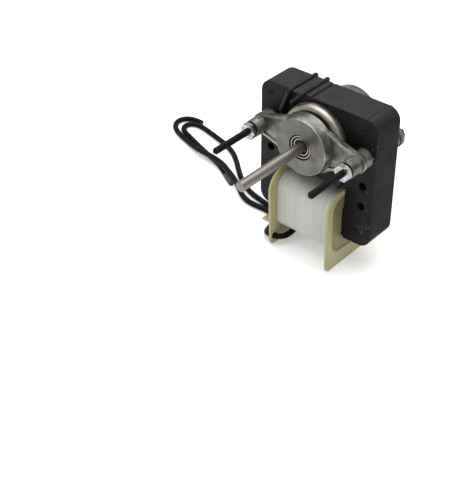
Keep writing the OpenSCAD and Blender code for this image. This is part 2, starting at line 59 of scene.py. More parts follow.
def new_material(name, colour, roughness, metallic=0.0, gloss=0.5):
    """A material with its own shader set; returns it with its node tree and its shader."""
    material = bpy.data.materials.new(name)
    material.use_nodes = True
    shader = material.node_tree.nodes["Principled BSDF"]
    shader.inputs["Base Color"].default_value = linear(colour)
    shader.inputs["Roughness"].default_value = roughness
    shader.inputs["Metallic"].default_value = metallic
    shader.inputs["Specular IOR Level"].default_value = gloss
    return material, material.node_tree, shader


def in_scene(name, data):
    """A new object made of data, put in the scene."""
    thing = bpy.data.objects.new(name, data)
    bpy.context.scene.collection.objects.link(thing)
    return thing


floor_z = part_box("bobbin")[0].z
floor_size = 40.0
floor_glow = 0.32

floor_mesh = bmesh.new()
bmesh.ops.create_grid(floor_mesh, x_segments=1, y_segments=1, size=floor_size / 2)
bmesh.ops.translate(floor_mesh, vec=(0, 0, floor_z), verts=floor_mesh.verts)
floor_data = bpy.data.meshes.new("floor")
floor_mesh.to_mesh(floor_data)
floor_mesh.free()
floor = in_scene("floor", floor_data)
floor_finish, _, floor_shader = new_material("white floor", "dcdcdc", 0.9, gloss=0.1)
floor_shader.inputs["Emission Color"].default_value = (1, 1, 1, 1)
floor_shader.inputs["Emission Strength"].default_value = floor_glow
floor.data.materials.append(floor_finish)


def soft_light(name, place, size, watts):
    """A square area light at place, aimed at the motor."""
    data = bpy.data.lights.new(name, "AREA")
    data.size = size
    data.energy = watts
    light = in_scene(name, data)
    light.location = place
    light.rotation_euler = (-Vector(place)).to_track_quat("-Z", "Y").to_euler()


soft_light("overhead light", (-0.1, 0.1, 1.1), 1.4, 17)
soft_light("left light", (-1.0, -0.5, 0.45), 0.5, 0.7)
soft_light("right light", (1.0, 0.25, 0.45), 0.5, 0.3)

horizon_glow = 0.14
ceiling_glow = 1.25

room = bpy.data.worlds.new("room")
room.use_nodes = True
room_tree = room.node_tree
room_direction = room_tree.nodes.new("ShaderNodeTexCoord")
room_height = room_tree.nodes.new("ShaderNodeSeparateXYZ")
room_glow = room_tree.nodes.new("ShaderNodeMapRange")
room_glow.inputs["To Min"].default_value = horizon_glow
room_glow.inputs["To Max"].default_value = ceiling_glow
room_tree.links.new(room_direction.outputs["Generated"], room_height.inputs["Vector"])
room_tree.links.new(room_height.outputs["Z"], room_glow.inputs["Value"])
room_tree.links.new(room_glow.outputs["Result"], room_tree.nodes["Background"].inputs["Strength"])
room_tree.nodes["Background"].inputs["Color"].default_value = (1, 1, 1, 1)
bpy.context.scene.world = room
bpy.context.scene.view_settings.view_transform = "Standard"


# Camera
# In front of the motor to the right and above it, with its picture's centre well below and
# to the left of the motor.

camera_azimuth = math.radians(41.167)
camera_elevation = math.radians(37.333)
camera_roll = math.radians(-0.33)
camera_place = (0.3272, -0.4255, 0.3390)
camera_lens = 79.82

camera_data = bpy.data.cameras.new("camera")
camera_data.lens = camera_lens
camera = in_scene("camera", camera_data)
camera.location = camera_place
aim = Euler((math.pi / 2 - camera_elevation, 0, camera_azimuth)).to_matrix()
camera.rotation_euler = (aim @ Matrix.Rotation(camera_roll, 3, "Z")).to_euler()
bpy.context.scene.camera = camera


# Leads
# Two stranded copper leads in black vinyl, cut off square at their free ends. Each comes from
# the coil's underside through a hole in the left flange and lies loose on the floor. The first
# ends in a short grey sleeve.

lead_diameter = 3.8 * MM
lead_1_route = [(-11.5, 32, -69.9), (-11.5, 32, -72.4), (-13, 32, -75.4), (-16, 32, -77.1),
    (-21, 32, -77.4), (-26, 32.3, -77.7), (-32, 34, -78.6), (-39, 36.4, -79.1),
    (-47.5, 38.2, -79.1), (-56, 39.8, -79.1), (-64, 41.6, -79.1), (-72, 44.6, -79.1),
    (-81, 50, -79.1), (-90, 57.2, -79.1), (-99, 65, -79.1), (-108, 71.6, -79.1),
    (-118, 76.2, -79.1), (-128, 79, -79.1), (-138, 81.4, -79.1), (-147, 83.2, -79.1),
    (-153, 83.2, -79.1), (-157.2, 80.8, -79.1), (-158.2, 77, -79.1), (-156.4, 73, -79.1),
    (-152.6, 70.4, -79.1), (-146, 67.8, -79.1), (-138, 64.9, -79.1), (-129, 61.7, -79.1),
    (-120.3, 58.9, -79.1), (-112, 56.4, -79.1), (-104.4, 53.4, -79.1), (-97, 49.5, -79.1),
    (-90, 45.7, -79.1), (-83.4, 42.2, -79.1)]
lead_2_route = [(-15.5, 26, -69.9), (-15.5, 26, -72.2), (-15.5, 24, -74.6), (-15.5, 19.2, -75.4),
    (-16.4, 14.4, -75.2), (-19, 11.5, -75), (-22, 11, -75), (-26, 11.6, -76), (-29.4, 14.2, -77.8),
    (-31.6, 18.6, -79), (-33, 24, -79.1), (-35.8, 29, -79.1), (-40, 32.2, -79.1),
    (-47, 33.4, -79.1), (-56, 33, -79.1), (-62, 33.4, -78.9), (-67.1, 34.8, -78.1),
    (-72.3, 37.3, -76.5), (-77.9, 40.6, -75.4), (-84.5, 44.2, -75), (-92.4, 48, -74.9),
    (-99.9, 51.3, -74.9), (-108.5, 53.4, -75), (-117.1, 54.8, -75.7), (-126.1, 56.6, -76.9),
    (-135.2, 59.5, -78.2), (-144, 62.6, -79), (-152, 65.2, -79.1), (-159, 68.4, -79.1),
    (-164.4, 72.8, -79.1), (-166.8, 78, -79.1), (-165.8, 83, -79.1), (-162, 86.4, -79.1),
    (-157, 87.6, -79.1), (-152, 87.6, -79.1)]


def object_place(tree):
    """A point's place on the object's own coordinates."""
    return tree.nodes.new("ShaderNodeTexCoord").outputs["Object"]


def noise(tree, grains_per_metre, detail=2.0, stretch=(1, 1, 1)):
    """A noise pattern on the object's own coordinates. A small stretch draws it out on an axis."""
    mapping = tree.nodes.new("ShaderNodeMapping")
    mapping.inputs["Scale"].default_value = stretch
    pattern = tree.nodes.new("ShaderNodeTexNoise")
    pattern.inputs["Scale"].default_value = grains_per_metre
    pattern.inputs["Detail"].default_value = detail
    tree.links.new(object_place(tree), mapping.inputs["Vector"])
    tree.links.new(mapping.outputs["Vector"], pattern.inputs["Vector"])
    return pattern.outputs["Fac"]


def between(tree, number, given, wanted):
    """Turns a number that runs over one range into one that runs over another, and stays in it."""
    ranges = tree.nodes.new("ShaderNodeMapRange")
    ranges.inputs["From Min"].default_value, ranges.inputs["From Max"].default_value = given
    ranges.inputs["To Min"].default_value, ranges.inputs["To Max"].default_value = wanted
    tree.links.new(number, ranges.inputs["Value"])
    return ranges.outputs["Result"]


def tint(tree, shader, pattern, colours):
    """Colours the surface along a pattern, through the colours of a list of (place, sRGB code)."""
    ramp = tree.nodes.new("ShaderNodeValToRGB")
    stops = ramp.color_ramp.elements
    while len(stops) < len(colours):
        stops.new(0.5)
    for stop, (place, colour) in zip(stops, colours):
        stop.position = place
        stop.color = linear(colour)
    tree.links.new(pattern, ramp.inputs["Fac"])
    tree.links.new(ramp.outputs["Color"], shader.inputs["Base Color"])


def relief(tree, shader, pattern, depth):
    """Raises and lowers the surface along a pattern, by depth in metres; calls add up."""
    bump = tree.nodes.new("ShaderNodeBump")
    bump.inputs["Distance"].default_value = depth
    for link in list(tree.links):
        if link.to_socket == shader.inputs["Normal"]:
            tree.links.new(link.from_socket, bump.inputs["Normal"])
    tree.links.new(pattern, bump.inputs["Height"])
    tree.links.new(bump.outputs["Normal"], shader.inputs["Normal"])


noise_middle = (0.3, 0.7)


def vary_roughness(tree, shader, pattern, low, high):
    """Lets the gloss change along a pattern."""
    tree.links.new(between(tree, pattern, noise_middle, (low, high)), shader.inputs["Roughness"])


crisp_corner = math.radians(35)


def new_piece(name, mesh, materials, replaced=(), body="stator"):
    """An object made of a bmesh, smooth but for its crisp corners, that rides on a body."""
    bmesh.ops.recalc_face_normals(mesh, faces=mesh.faces)
    data = bpy.data.meshes.new(name)
    mesh.to_mesh(data)
    mesh.free()
    for material in materials:
        data.materials.append(material)
    data.shade_smooth()
    data.set_sharp_from_angle(angle=crisp_corner)
    piece = in_scene(name, data)
    piece.modifiers.new("flat faces stay flat", "WEIGHTED_NORMAL").keep_sharp = True
    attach(piece, body)
    if replaced:
        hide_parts(*replaced)
    return piece


def along(direction):
    """The turn that brings +Z to a direction."""
    return Vector(direction).to_track_quat("Z", "Y").to_matrix().to_4x4()


square_corner = math.radians(40)


def round_edges(mesh, width, chosen=None, clamp=True, steps=2):
    """Rounds a bmesh's outer edges, or those of them that a test chooses by their middle."""
    edges = [edge for edge in mesh.edges if len(edge.link_faces) == 2 and edge.is_convex
        and edge.calc_face_angle(0) > square_corner
        and (chosen is None or chosen((edge.verts[0].co + edge.verts[1].co) / 2))]
    bmesh.ops.bevel(mesh, geom=edges, offset=width, segments=steps, affect="EDGES",
        profile=0.5, material=-1, clamp_overlap=clamp)


vinyl, vinyl_tree, vinyl_shader = new_material("black vinyl", "09090a", 0.48, gloss=0.1)
vinyl_scuffs = noise(vinyl_tree, 260, 4)
tint(vinyl_tree, vinyl_shader, vinyl_scuffs, [(0.3, "070708"), (0.72, "101011")])
vary_roughness(vinyl_tree, vinyl_shader, vinyl_scuffs, 0.38, 0.56)
relief(vinyl_tree, vinyl_shader, noise(vinyl_tree, 1500), 0.02 * MM)

strands, strands_tree, strands_shader = new_material("copper strands", "5d4030", 0.45, 1.0)
relief(strands_tree, strands_shader, noise(strands_tree, 3000), 0.02 * MM)

strand_radius = 0.3 * MM
strand_tip_radius = 0.24 * MM
strand_reach = 0.05 * MM
strands_around = 6


def cut_end(name, end, direction):
    """The copper strands that show at the cut end of a lead: one with six around it."""
    mesh = bmesh.new()
    turns = [2 * math.pi * i / strands_around for i in range(strands_around)]
    places = [(0, 0)] + [(math.cos(turn), math.sin(turn)) for turn in turns]
    for x, y in places:
        place = Matrix.Translation((2 * strand_radius * x, 2 * strand_radius * y, 0))
        bmesh.ops.create_cone(mesh, cap_ends=True, segments=12, radius1=strand_radius,
            radius2=strand_tip_radius, depth=2 * strand_reach,
            matrix=Matrix.Translation(end) @ along(direction) @ place)
    return new_piece(name, mesh, [strands])


sleeve_material, sleeve_tree, sleeve_shader = new_material("grey sleeve", "40403f", 0.6, gloss=0.3)
sleeve_cloud = noise(sleeve_tree, 500, 3)
tint(sleeve_tree, sleeve_shader, sleeve_cloud, [(0.3, "333332"), (0.7, "50504e")])
relief(sleeve_tree, sleeve_shader, noise(sleeve_tree, 900, 3), 0.06 * MM)

sleeve_length = 10.5 * MM
sleeve_radius = 2.2 * MM
sleeve_rounding = 0.35 * MM


def end_sleeve(name, end, direction):
    """The short shrunk sleeve over the end of a lead, with its edges rounded."""
    mesh = bmesh.new()
    lift = Vector((0, 0, sleeve_radius - lead_diameter / 2))
    middle = end + lift - direction * (sleeve_length / 2 - strand_reach)
    bmesh.ops.create_cone(mesh, cap_ends=True, segments=32, radius1=sleeve_radius,
        radius2=sleeve_radius, depth=sleeve_length,
        matrix=Matrix.Translation(middle) @ along(direction))
    round_edges(mesh, sleeve_rounding, clamp=False, steps=3)
    return new_piece(name, mesh, [sleeve_material])


for name, route in (("lead_1", lead_1_route), ("lead_2", lead_2_route)):
    points = [Vector(point) * MM for point in route]
    curve = bpy.data.curves.new(name + "_insulation", "CURVE")
    curve.dimensions = "3D"
    curve.bevel_depth = lead_diameter / 2
    curve.bevel_resolution = 6
    curve.resolution_u = 6
    curve.use_fill_caps = True
    spline = curve.splines.new("BEZIER")
    spline.bezier_points.add(len(points) - 1)
    for bezier_point, point in zip(spline.bezier_points, points):
        bezier_point.co = point
        bezier_point.handle_left_type = bezier_point.handle_right_type = "AUTO"
    lead = in_scene(name + "_insulation", curve)
    lead.data.materials.append(vinyl)
    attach(lead, "stator")
    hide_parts(name)
    heading = (points[-1] - points[-2]).normalized()
    fittings = [cut_end(name + "_strands", points[-1], heading)]
    if name == "lead_1":
        fittings.append(end_sleeve(name + "_sleeve", points[-1], heading))


# Core
# A C-shaped stack of thin steel laminations with a bar dovetailed between its legs, stamped,
# locked at its dimples and dipped in black varnish, which rounds its edges and gathers beside
# the shading coils.

sheet_thickness = 0.5 * MM
core_low, core_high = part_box("c_frame_stack")
core_edge_radius = 0.55 * MM
core_corner_radius = 8 * MM
bore_radius = 22.35 * MM
leg_holes = [(side * 34 * MM, z * MM) for side in (-1, 1) for z in (-20, -34)]
leg_hole_radius = 2.45 * MM
groove_places = [-19.4 * MM, -10.8 * MM, -4.8 * MM, 34 * MM]
groove_reach = 2.4 * MM
bar_edge_radius = 0.2 * MM
metre_wide_bands = 2 * math.pi / 20


def sheet_edges(tree, sheet):
    """A pattern of bands along Y, one for each sheet of a stack."""
    bands = tree.nodes.new("ShaderNodeTexWave")
    bands.bands_direction = "Y"
    bands.inputs["Scale"].default_value = metre_wide_bands / sheet
    bands.inputs["Distortion"].default_value = 0.8
    bands.inputs["Detail Scale"].default_value = 4
    tree.links.new(object_place(tree), bands.inputs["Vector"])
    return bands.outputs["Fac"]


same_place = 0.002 * MM
same_plane = math.radians(0.5)


def joined_copy(name):
    """A bmesh of a solid of the model with its loose triangles joined and its flat faces whole."""
    mesh = bmesh.new()
    mesh.from_mesh(node[name].data)
    bmesh.ops.remove_doubles(mesh, verts=mesh.verts, dist=same_place)
    bmesh.ops.dissolve_limit(mesh, angle_limit=same_plane, verts=mesh.verts, edges=mesh.edges)
    return mesh


def added(tree, first, second):
    """The sum of two numbers of a material."""
    total = tree.nodes.new("ShaderNodeMath")
    total.operation = "ADD"
    tree.links.new(first, total.inputs[0])
    tree.links.new(second, total.inputs[1])
    return total.outputs["Value"]


def place_along(tree, axis):
    """A point's place along one of the object's own axes."""
    axes = tree.nodes.new("ShaderNodeSeparateXYZ")
    tree.links.new(object_place(tree), axes.inputs["Vector"])
    return axes.outputs[axis]


chipped_from, chipped_to = 34 * MM, core_high.x
scratched_dimple = (33 * MM, core_low.y, -50 * MM)
scratches_from, scratches_to = 1 * MM, 7 * MM

# This darker varnish goes on the sheets' flat front and rear faces: partly their smoother coat,
# partly painted shade on the core's front.
varnish, varnish_tree, varnish_shader = new_material("black varnish", "121212", 0.45, gloss=0.13)
varnish_cloud = noise(varnish_tree, 90, 5)
edge_chips = between(varnish_tree, place_along(varnish_tree, "X"), (chipped_from, chipped_to),
    (-0.06, 0.025))
dimple_reach = varnish_tree.nodes.new("ShaderNodeVectorMath")
dimple_reach.operation = "DISTANCE"
dimple_reach.inputs[1].default_value = scratched_dimple
varnish_tree.links.new(object_place(varnish_tree), dimple_reach.inputs[0])
dimple_chips = between(varnish_tree, dimple_reach.outputs["Value"],
    (scratches_from, scratches_to), (0.1, 0.0))
varnish_specks = added(varnish_tree, noise(varnish_tree, 700, 8),
    added(varnish_tree, edge_chips, dimple_chips))
tint(varnish_tree, varnish_shader, varnish_specks,
    [(0.3, "111111"), (0.67, "171717"), (0.715, "838380")])
vary_roughness(varnish_tree, varnish_shader, varnish_cloud, 0.36, 0.56)
relief(varnish_tree, varnish_shader, noise(varnish_tree, 800, 3), 0.05 * MM)

varnished_edges, edges_tree, edges_shader = new_material("varnished sheet edges", "1c1c1d", 0.45,
    gloss=0.03)
edges_cloud = noise(edges_tree, 90, 5)
dust_clouds = between(edges_tree, edges_cloud, (0.2, 0.8), (0.0, 0.2))
# Lighter towards the core's top edge: a painted sheen on the top, added to the random dust clouds.
painted_top_sheen = between(edges_tree, place_along(edges_tree, "Z"),
    (core_high.z - core_corner_radius, core_high.z), (0.0, 0.8))
tint(edges_tree, edges_shader, added(edges_tree, dust_clouds, painted_top_sheen),
    [(0.03, "131314"), (0.17, "1b1b1c"), (0.83, "2a2a2b"), (0.97, "333334")])
vary_roughness(edges_tree, edges_shader, edges_cloud, 0.36, 0.54)
relief(edges_tree, edges_shader, noise(edges_tree, 800, 3), 0.05 * MM)
relief(edges_tree, edges_shader, sheet_edges(edges_tree, sheet_thickness), 0.04 * MM)


on_face = 0.01 * MM
on_line = 0.06 * MM
groove_depth = 1 * MM


def on_core_outline(middle):
    """Whether a point lies on the outline, bore or leg holes of the core's front or rear face."""
    if min(abs(middle.y - core_low.y), abs(middle.y - core_high.y)) > on_face:
        return False
    at_top = middle.z > core_high.z - groove_depth
    if at_top and min(abs(middle.x - x) for x in groove_places) < groove_reach:
        return False
    half_height = (core_high.z - core_low.z) / 2
    over_x = abs(middle.x) - core_high.x + core_corner_radius
    over_z = abs(middle.z - core_low.z - half_height) - half_height + core_corner_radius
    outline = math.hypot(max(over_x, 0), max(over_z, 0)) + min(max(over_x, over_z), 0)
    holes = [(0, 0, bore_radius)] + [(x, z, leg_hole_radius) for x, z in leg_holes]
    return abs(outline - core_corner_radius) < on_line or any(
        abs(math.hypot(middle.x - x, middle.z - z) - radius) < on_line for x, z, radius in holes)


def mark_sheet_edges(mesh):
    """Gives a stack's second material to the faces where its sheets' edges show."""
    for face in mesh.faces:
        face.material_index = 0 if abs(face.normal.y) > 0.5 else 1


core_mesh = joined_copy("c_frame_stack")
round_edges(core_mesh, core_edge_radius, on_core_outline, clamp=False, steps=3)
mark_sheet_edges(core_mesh)
new_piece("varnished_core", core_mesh, [varnish, varnished_edges], ["c_frame_stack"])

bar_mesh = joined_copy("yoke_bar")
round_edges(bar_mesh, bar_edge_radius)
mark_sheet_edges(bar_mesh)
new_piece("varnished_yoke_bar", bar_mesh, [varnish, varnished_edges], ["yoke_bar"])


# Shading coils
# Four closed turns of round copper wire around parts of the poles, dipped with the core, so
# that the black varnish covers them except where it is rubbed off, and runs between the upper
# pair in a bead along the core's front edge.

def finish_node(name, material):
    """Gives a part of the model its finish."""
    node[name].data.materials.clear()
    node[name].data.materials.append(material)


shading, shading_tree, shading_shader = new_material("varnished copper", "161415", 0.4, gloss=0.2)
shading_wear = noise(shading_tree, 420, 4)
tint(shading_tree, shading_shader, shading_wear,
    [(0.3, "111011"), (0.6, "181616"), (0.74, "3c2019")])
vary_roughness(shading_tree, shading_shader, shading_wear, 0.32, 0.5)
relief(shading_tree, shading_shader, noise(shading_tree, 900, 3), 0.05 * MM)

for coil in ("upper_long", "upper_short", "lower_long", "lower_short"):
    finish_node(coil + "_shading_coil", shading)

bead_radius = 1.0 * MM
bead_from, bead_to = -19 * MM, -11 * MM
bead_y = core_low.y + 0.2 * MM
bead_z = core_high.z - 0.8 * MM

bead_mesh = bmesh.new()
bmesh.ops.create_uvsphere(bead_mesh, u_segments=16, v_segments=12, radius=bead_radius)
for vert in bead_mesh.verts:
    vert.co.z += (bead_to - bead_from) / 2 * (1 if vert.co.z > 0 else -1 if vert.co.z < 0 else 0)
bead_middle = Matrix.Translation(((bead_from + bead_to) / 2, bead_y, bead_z))
bmesh.ops.transform(bead_mesh, verts=bead_mesh.verts, matrix=bead_middle @ along((1, 0, 0)))
new_piece("varnish_bead", bead_mesh, [varnished_edges])


# Coil
# Enamelled copper wire wound on a bobbin moulded in natural nylon, under white tape. The dark
# wire shows through the flanges' thin pockets.

nylon, nylon_tree, nylon_shader = new_material("natural nylon", "a59f74", 0.45)
nylon_shader.inputs["Subsurface Weight"].default_value = 0.2
nylon_shader.inputs["Subsurface Radius"].default_value = (0.003, 0.0025, 0.001)
nylon_cloud = noise(nylon_tree, 60, 3)
tint(nylon_tree, nylon_shader, nylon_cloud, [(0.3, "9c966a"), (0.7, "aea87f")])
vary_roughness(nylon_tree, nylon_shader, nylon_cloud, 0.38, 0.52)
relief(nylon_tree, nylon_shader, noise(nylon_tree, 700, 3), 0.03 * MM)

thin_nylon, thin_tree, thin_shader = new_material("nylon over the wire", "77714a", 0.45)
thin_cloud = noise(thin_tree, 90, 3)
tint(thin_tree, thin_shader, thin_cloud, [(0.3, "6c6641"), (0.7, "827c55")])
vary_roughness(thin_tree, thin_shader, thin_cloud, 0.38, 0.52)
relief(thin_tree, thin_shader, noise(thin_tree, 700, 3), 0.03 * MM)

pocket_depth = 0.6 * MM
pocket_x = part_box("bobbin")[1].x - pocket_depth
on_pocket = 0.02 * MM
bobbin_rounding = 0.45 * MM

bobbin_mesh = joined_copy("bobbin")
for face in bobbin_mesh.faces:
    at_pocket = abs(abs(face.calc_center_median().x) - pocket_x) < on_pocket
    face.material_index = 1 if at_pocket and abs(face.normal.x) > 0.9 else 0
round_edges(bobbin_mesh, bobbin_rounding, clamp=False, steps=3)
new_piece("moulded_bobbin", bobbin_mesh, [nylon, thin_nylon], ["bobbin"])

copper, copper_tree, copper_shader = new_material("enamelled copper", "9a5a34", 0.3, 1.0)
relief(copper_tree, copper_shader, noise(copper_tree, 1200, 3), 0.05 * MM)
finish_node("winding", copper)

tape, tape_tree, tape_shader = new_material("white tape", "b6b7b0", 0.42, gloss=0.3)
tape_cloud = noise(tape_tree, 110, 4)
tape_turns = noise(tape_tree, 300, 5, (1, 0.03, 0.03))
tint(tape_tree, tape_shader, tape_turns, [(0.34, "afb0a8"), (0.5, "b7b8b1"), (0.66, "bcbdb6")])
vary_roughness(tape_tree, tape_shader, tape_cloud, 0.34, 0.52)
relief(tape_tree, tape_shader, tape_turns, 0.08 * MM)
relief(tape_tree, tape_shader, tape_cloud, 0.1 * MM)

tape_rounding = 0.35 * MM

tape_mesh = joined_copy("coil_tape")
round_edges(tape_mesh, tape_rounding, clamp=False, steps=3)
new_piece("wound_tape", tape_mesh, [tape], ["coil_tape"])


# Rotor
# Steel laminations with a cage of aluminium cast through and around them, pressed on a ground
# steel shaft between two spacers and two nylon thrust washers. The shaft's ends keep the
# lathe's centre marks.

turned_steel, turned_tree, turned_shader = new_material("turned steel", "6f6d6a", 0.36, 1.0)
relief(turned_tree, turned_shader, sheet_edges(turned_tree, sheet_thickness), 0.02 * MM)
finish_node("rotor_core", turned_steel)

cast_aluminium, cast_tree, cast_shader = new_material("cast aluminium", "97938a", 0.4, 1.0)
cast_cloud = noise(cast_tree, 200, 4)
tint(cast_tree, cast_shader, cast_cloud, [(0.3, "878379"), (0.7, "a5a198")])
vary_roughness(cast_tree, cast_shader, cast_cloud, 0.34, 0.48)
relief(cast_tree, cast_shader, noise(cast_tree, 900, 3), 0.03 * MM)


def turned_piece(profile, steps=96):
    """A bmesh of a profile of (radius, y) pairs in mm, turned about the shaft's axis."""
    mesh = bmesh.new()
    verts = [mesh.verts.new((radius * MM, y * MM, 0)) for radius, y in profile]
    edges = [mesh.edges.new(pair) for pair in zip(verts, verts[1:])]
    bmesh.ops.spin(mesh, geom=verts + edges, cent=(0, 0, 0), axis=(0, 1, 0), angle=2 * math.pi,
        steps=steps, use_merge=True)
    bmesh.ops.remove_doubles(mesh, verts=mesh.verts, dist=same_place)
    return mesh


def join_into(mesh, other, name):
    """Adds the faces of another bmesh to a bmesh."""
    data = bpy.data.meshes.new(name)
    other.to_mesh(data)
    other.free()
    mesh.from_mesh(data)
    bpy.data.meshes.remove(data)


ring_inner, ring_outer, ring_width = 16.2, 21.8, 5.3
ring_round, ring_round_steps = 3.1, 10
ring_sunk = 0.1
ring_chamfer = 0.3
ring_groove_depth, ring_groove_width = 0.22, 0.5
ring_groove_bottom = (0.35, 0.15)
bar_count = 17
bar_radius = 1.3 * MM
bar_circle = 19.7 * MM
core_front, core_rear = core_low.y / MM, core_high.y / MM


def ring_profile(face, outwards):
    """An end ring's outline from the rotor's face: a band, a fine groove, and a rounded rim."""
    band = ring_width - ring_round
    steps = [(ring_inner, -ring_sunk), (ring_outer, -ring_sunk),
        (ring_outer, band - ring_groove_width)]
    steps += [(ring_outer - ring_groove_depth, band - back) for back in ring_groove_bottom]
    for i in range(ring_round_steps + 1):
        turn = math.pi / 2 * i / ring_round_steps
        steps.append((ring_outer - ring_round * (1 - math.cos(turn)),
            band + ring_round * math.sin(turn)))
    steps += [(ring_inner + ring_chamfer, ring_width), (ring_inner, ring_width - ring_chamfer),
        (ring_inner, -ring_sunk)]
    return [(radius, face + outwards * out) for radius, out in steps]


cage_mesh = turned_piece(ring_profile(core_front, -1))
join_into(cage_mesh, turned_piece(ring_profile(core_rear, 1)), "rear_ring")
for i in range(bar_count):
    turn = 2 * math.pi * i / bar_count
    bar_middle = Matrix.Translation((bar_circle * math.cos(turn),
        (core_low.y + core_high.y) / 2, -bar_circle * math.sin(turn)))
    bmesh.ops.create_cone(cage_mesh, cap_ends=True, segments=16, radius1=bar_radius,
        radius2=bar_radius, depth=core_high.y - core_low.y, matrix=bar_middle @ along((0, 1, 0)))
new_piece("cast_cage", cage_mesh, [cast_aluminium], ["rotor_cage"], body="rotor")

ground_steel, ground_tree, ground_shader = new_material("ground steel", "837f7b", 0.38, 0.95)
ground_grain = noise(ground_tree, 700, 3, (1, 0.1, 1))
tint(ground_tree, ground_shader, ground_grain, [(0.3, "7a7672"), (0.7, "8c8884")])
vary_roughness(ground_tree, ground_shader, ground_grain, 0.36, 0.44)
relief(ground_tree, ground_shader, ground_grain, 0.01 * MM)

shaft_front, shaft_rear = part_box("shaft")[0].y / MM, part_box("shaft")[1].y / MM
shaft_radius = 3.175
shaft_edge = [(0.45, 0), (0.2, 0.12), (0, 0.45)]
centre_mark_radius, centre_mark_depth = 0.6, 1
clip_groove_radius = 2.925
clip_groove = (7, 7.8)

front_end = [(0, shaft_front + centre_mark_depth), (centre_mark_radius, shaft_front)]
front_end += [(shaft_radius - down, shaft_front + back) for down, back in shaft_edge]
rear_end = [(shaft_radius - down, shaft_rear - back) for down, back in reversed(shaft_edge)]
rear_end += [(centre_mark_radius, shaft_rear), (0, shaft_rear - centre_mark_depth)]
shaft_mesh = turned_piece(front_end + [(shaft_radius, clip_groove[0]),
    (clip_groove_radius, clip_groove[0]), (clip_groove_radius, clip_groove[1]),
    (shaft_radius, clip_groove[1])] + rear_end)
new_piece("ground_shaft", shaft_mesh, [ground_steel], ["shaft"], body="rotor")

plated, plated_tree, plated_shader = new_material("bright zinc plating", "acb0ae", 0.28, 1.0)
plated_cloud = noise(plated_tree, 450, 3)
tint(plated_tree, plated_shader, plated_cloud, [(0.34, "868a88"), (0.66, "bcc0be")])
vary_roughness(plated_tree, plated_shader, plated_cloud, 0.16, 0.3)
relief(plated_tree, plated_shader, plated_cloud, 0.04 * MM)

washer_nylon, washer_tree, washer_shader = new_material("white nylon", "b0ada2", 0.45)
relief(washer_tree, washer_shader, noise(washer_tree, 900, 3), 0.02 * MM)

for end in ("front", "rear"):
    finish_node(end + "_thrust_washer", washer_nylon)
    finish_node(end + "_spacer", plated)


# Brackets
# One zinc die casting on each side of the core, its hub's face turned flat and its ribs and hub
# rim lighter, partly rubbed bright and partly a painted highlight. A ball-shaped bronze bearing
# sits in its hub, held by a pressed ring in front and fed with oil by a ring of felt under a cap
# behind.

zinc, zinc_tree, zinc_shader = new_material("die-cast zinc", "61655f", 0.42, 0.85)
zinc_cloud = noise(zinc_tree, 190, 7, (0.6, 1, 1))
drag_marks = noise(zinc_tree, 1500, 3, (1, 0.12, 1))
tint(zinc_tree, zinc_shader, added(zinc_tree, zinc_cloud,
    between(zinc_tree, drag_marks, noise_middle, (-0.06, 0.06))),
    [(0.32, "4d504a"), (0.46, "666962"), (0.56, "70736c"), (0.68, "8e918a")])
vary_roughness(zinc_tree, zinc_shader, zinc_cloud, 0.34, 0.52)
relief(zinc_tree, zinc_shader, noise(zinc_tree, 900, 4), 0.04 * MM)

# A lighter zinc for the rib faces and the hub's rim: partly rubbed wear, partly a painted
# highlight along the edges.
worn_and_highlit_zinc, worn_and_highlit_tree, worn_and_highlit_shader = new_material("worn zinc with painted highlight", "838680", 0.36, 0.9)
worn_and_highlit_cloud = noise(worn_and_highlit_tree, 400, 5)
tint(worn_and_highlit_tree, worn_and_highlit_shader, worn_and_highlit_cloud, [(0.3, "6c6f69"), (0.7, "9a9d97")])
vary_roughness(worn_and_highlit_tree, worn_and_highlit_shader, worn_and_highlit_cloud, 0.32, 0.48)
relief(worn_and_highlit_tree, worn_and_highlit_shader, noise(worn_and_highlit_tree, 900, 3), 0.03 * MM)

facing_cut = 0.9 * MM

faced_zinc, faced_tree, faced_shader = new_material("faced zinc", "62665f", 0.42, 0.85)
faced_cloud = noise(faced_tree, 130, 5)
faced_rings = faced_tree.nodes.new("ShaderNodeTexWave")
faced_rings.wave_type = "RINGS"
faced_rings.rings_direction = "Y"
faced_rings.inputs["Scale"].default_value = metre_wide_bands / facing_cut
faced_rings.inputs["Distortion"].default_value = 1.5
faced_rings.inputs["Detail Scale"].default_value = 3
faced_tree.links.new(object_place(faced_tree), faced_rings.inputs["Vector"])
tint(faced_tree, faced_shader, added(faced_tree, faced_cloud,
    between(faced_tree, faced_rings.outputs["Fac"], (0, 1), (-0.1, 0.1))),
    [(0.3, "51554e"), (0.5, "63675f"), (0.7, "757971")])
vary_roughness(faced_tree, faced_shader, faced_cloud, 0.36, 0.5)
relief(faced_tree, faced_shader, noise(faced_tree, 900, 4), 0.03 * MM)
relief(faced_tree, faced_shader, faced_rings.outputs["Fac"], 0.02 * MM)

bronze, bronze_tree, bronze_shader = new_material("sintered bronze", "3c3128", 0.5, 1.0)
relief(bronze_tree, bronze_shader, noise(bronze_tree, 2500, 4), 0.05 * MM)

felt, felt_tree, felt_shader = new_material("oiled felt", "4a3f2e", 0.9)
relief(felt_tree, felt_shader, noise(felt_tree, 1800, 5), 0.2 * MM)

crest_steel, crest_tree, crest_shader = new_material("steel on the lit crests", "8e8a80", 0.32, 1.0)
relief(crest_tree, crest_shader, noise(crest_tree, 900, 3), 0.02 * MM)

# A dark steel that is painted shade, for the retainer's deep faces and walls inside the hub's
# recess.
painted_shade_steel, painted_shade_tree, painted_shade_shader = new_material("steel in painted shade", "262420", 0.45, 0.6)
relief(painted_shade_tree, painted_shade_shader, noise(painted_shade_tree, 900, 3), 0.04 * MM)

crest_depth = 1.2 * MM
rib_plane = 9.7 * MM
hub_front = 15.6 * MM
disc_radius = 18.1 * MM
rim_radius = 17.3 * MM
rim_height = 0.7 * MM
on_level = 0.05 * MM
casting_rounding = 0.25 * MM
retainer_rounding = 0.2 * MM

